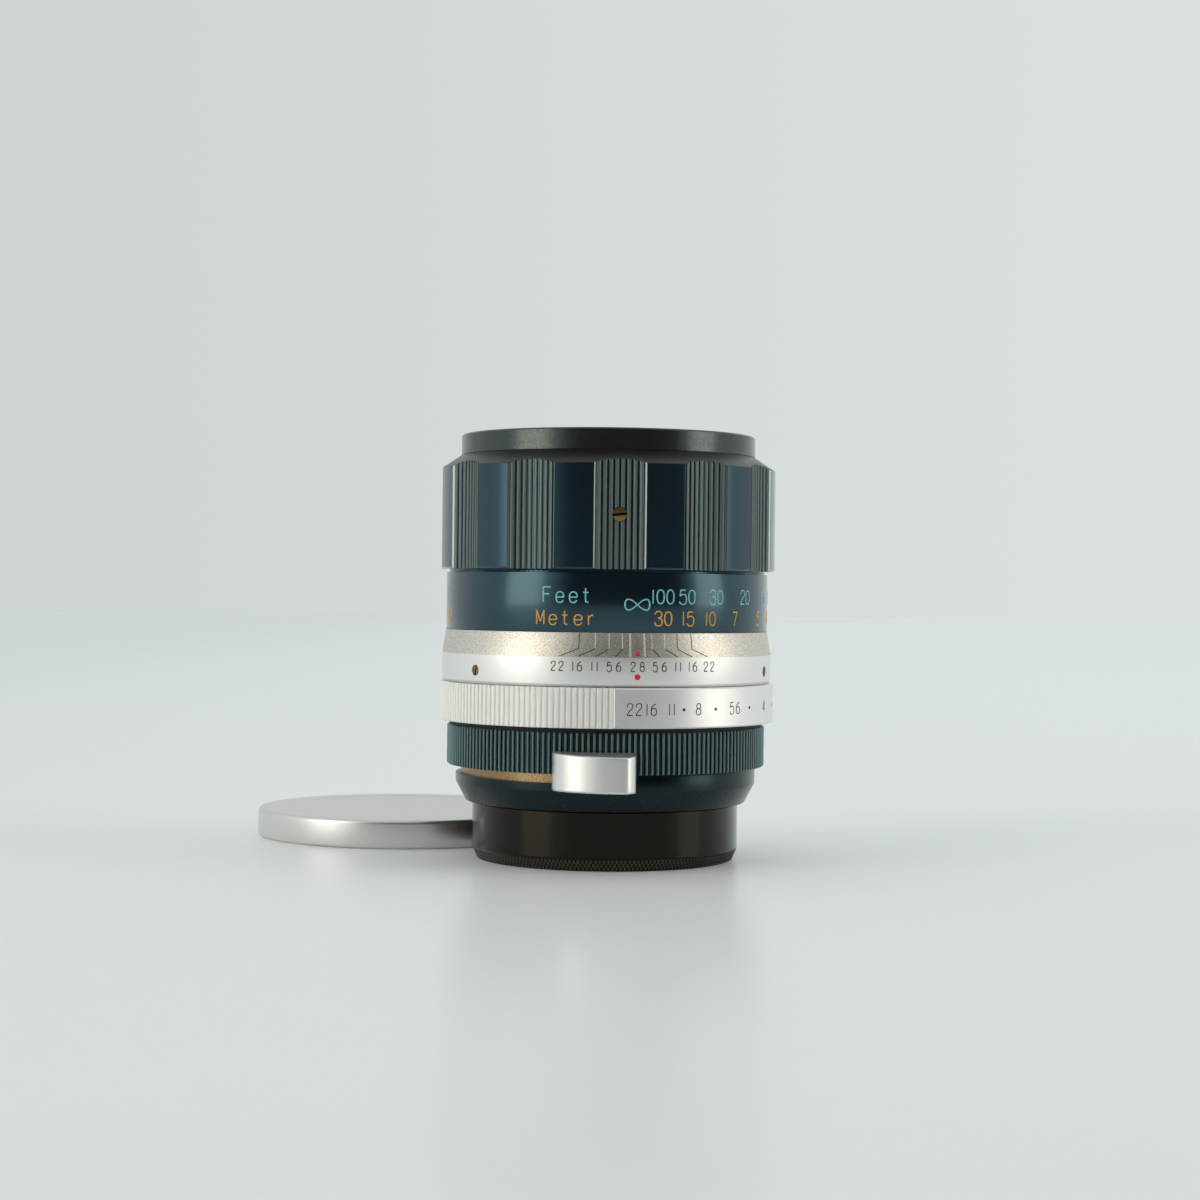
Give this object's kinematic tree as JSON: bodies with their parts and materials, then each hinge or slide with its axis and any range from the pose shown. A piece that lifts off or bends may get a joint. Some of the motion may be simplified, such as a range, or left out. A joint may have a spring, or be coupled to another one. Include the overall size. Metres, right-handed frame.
{
  "type": "camera lens",
  "caption": "Short-telephoto camera lens on its screwed rear cap: focusing ring, click-stop aperture ring with iris, mode lever, lock ring, and its push-on front cap beside it.",
  "frame": {"origin": "centre of the rear cap's resting face, on the lens axis", "axes": "+Z along the lens axis towards the front glass; -Y is the side of the index mark"},
  "size_m": [0.0891, 0.1043, 0.0745],
  "materials": {
    "black_anodised_cap": "satin black anodised, turned",
    "satin_aluminium_cap": "satin, rolled edge",
    "black_felt": "felt",
    "turned_steel": "fine turned",
    "blue_black_anodised": "glossy blue-black anodised",
    "blued_steel": "blued",
    "matt_black_inner": "matt black anodised",
    "brass": "matt, turned",
    "satin_aluminium": "satin, clear anodised",
    "black_anodised_grip": "black anodised, ribbed",
    "coated_glass": "polished, coated"
  },
  "bodies": {
    "rear_cap": {"rear_cap": "black_anodised_cap"},
    "front_cap": {"front_cap": "satin_aluminium_cap", "front_cap_felt": "black_felt"},
    "lens_body": {"camera_thread": "turned_steel", "mount_base": "blue_black_anodised", "mount_screws": "blued_steel", "mount_neck": "matt_black_inner", "rear_baffle": "matt_black_inner", "body_tube": "matt_black_inner", "focus_key": "brass", "index_ring": "satin_aluminium", "index_screws": "brass", "click_ball": "turned_steel", "click_spring": "turned_steel", "focus_retainer": "matt_black_inner"},
    "diaphragm_pin": {"diaphragm_pin": "turned_steel", "pin_spring": "turned_steel"},
    "mode_lever": {"lever_ring": "brass", "lever_tab": "satin_aluminium"},
    "lock_ring": {"lock_ring": "black_anodised_grip"},
    "aperture_ring": {"aperture_ring": "satin_aluminium", "aperture_fork": "brass"},
    "focus_ring": {"focus_ring": "blue_black_anodised", "distance_sleeve": "blue_black_anodised", "focus_nut": "brass", "focus_screws": "brass"},
    "optical_barrel": {"front_barrel": "blue_black_anodised", "name_ring": "matt_black_inner", "front_element": "coated_glass", "second_element": "coated_glass", "element_spacer": "matt_black_inner", "third_element": "coated_glass", "front_cell": "matt_black_inner", "iris_housing": "matt_black_inner", "iris_cover": "matt_black_inner", "rear_cell": "matt_black_inner", "rear_doublet_front": "coated_glass", "rear_doublet_back": "coated_glass", "rear_retainer": "matt_black_inner"},
    "iris_cam": {"iris_cam_ring": "brass"},
    "blade_1": {"iris_blade_1": "blued_steel"},
    "blade_2": {"iris_blade_2": "blued_steel"},
    "blade_3": {"iris_blade_3": "blued_steel"},
    "blade_4": {"iris_blade_4": "blued_steel"},
    "blade_5": {"iris_blade_5": "blued_steel"},
    "blade_6": {"iris_blade_6": "blued_steel"}
  },
  "joints": [
    {"name": "rear_cap_off", "type": "slide", "parent": "rear_cap", "child": "lens_body", "axis": [0, 0, 1], "range_m": [0, 0.03]},
    {"name": "front_cap_aside", "type": "slide", "parent": "rear_cap", "child": "front_cap", "axis": [-0.6009, 0.7993, 0], "range_m": [0, 0.03]},
    {"name": "diaphragm_pin_push", "type": "slide", "parent": "lens_body", "child": "diaphragm_pin", "axis": [0, 0, 1], "range_m": [0, 0.003], "stiffness_N_per_m": 250, "springref_m": -0.002, "deforming": ["pin_spring"]},
    {"name": "mode_lever_swing", "type": "hinge", "parent": "lens_body", "child": "mode_lever", "pos_m": [0, 0, 0.016], "axis": [0, 0, 1], "range_deg": [-50, 0]},
    {"name": "lock_ring_turn", "type": "hinge", "parent": "lens_body", "child": "lock_ring", "pos_m": [0, 0, 0.02], "axis": [0, 0, 1], "range_deg": [0, 30]},
    {"name": "aperture_turn", "type": "hinge", "parent": "lens_body", "child": "aperture_ring", "pos_m": [0, 0, 0.028], "axis": [0, 0, 1], "range_deg": [-82, 0]},
    {"name": "focus_turn", "type": "hinge", "parent": "lens_body", "child": "focus_ring", "pos_m": [0, 0, 0.06], "axis": [0, 0, 1], "range_deg": [-277, 0]},
    {"name": "barrel_slide", "type": "slide", "parent": "lens_body", "child": "optical_barrel", "axis": [0, 0, 1], "range_m": [0, 0.0106]},
    {"name": "iris_cam_turn", "type": "hinge", "parent": "optical_barrel", "child": "iris_cam", "pos_m": [0, 0, 0.0465], "axis": [0, 0, 1], "range_deg": [-82, 0]},
    {"name": "blade_1_swing", "type": "hinge", "parent": "optical_barrel", "child": "blade_1", "pos_m": [0.0196, 0, 0.0448], "axis": [0, 0, 1], "range_deg": [-30.5, 0]},
    {"name": "blade_2_swing", "type": "hinge", "parent": "optical_barrel", "child": "blade_2", "pos_m": [0.0098, 0.01697, 0.0448], "axis": [0, 0, 1], "range_deg": [-30.5, 0]},
    {"name": "blade_3_swing", "type": "hinge", "parent": "optical_barrel", "child": "blade_3", "pos_m": [-0.0098, 0.01697, 0.0448], "axis": [0, 0, 1], "range_deg": [-30.5, 0]},
    {"name": "blade_4_swing", "type": "hinge", "parent": "optical_barrel", "child": "blade_4", "pos_m": [-0.0196, 0, 0.0448], "axis": [0, 0, 1], "range_deg": [-30.5, 0]},
    {"name": "blade_5_swing", "type": "hinge", "parent": "optical_barrel", "child": "blade_5", "pos_m": [-0.0098, -0.01697, 0.0448], "axis": [0, 0, 1], "range_deg": [-30.5, 0]},
    {"name": "blade_6_swing", "type": "hinge", "parent": "optical_barrel", "child": "blade_6", "pos_m": [0.0098, -0.01697, 0.0448], "axis": [0, 0, 1], "range_deg": [-30.5, 0]}
  ],
  "couplings": [
    {"joint": "barrel_slide", "follows": "focus_turn", "m_per_rad": -0.0021924},
    {"joint": "iris_cam_turn", "follows": "aperture_turn", "ratio": 1},
    {"joint": "blade_1_swing", "follows": "aperture_turn", "ratio": 0.37155},
    {"joint": "blade_2_swing", "follows": "aperture_turn", "ratio": 0.37155},
    {"joint": "blade_3_swing", "follows": "aperture_turn", "ratio": 0.37155},
    {"joint": "blade_4_swing", "follows": "aperture_turn", "ratio": 0.37155},
    {"joint": "blade_5_swing", "follows": "aperture_turn", "ratio": 0.37155},
    {"joint": "blade_6_swing", "follows": "aperture_turn", "ratio": 0.37155}
  ]
}
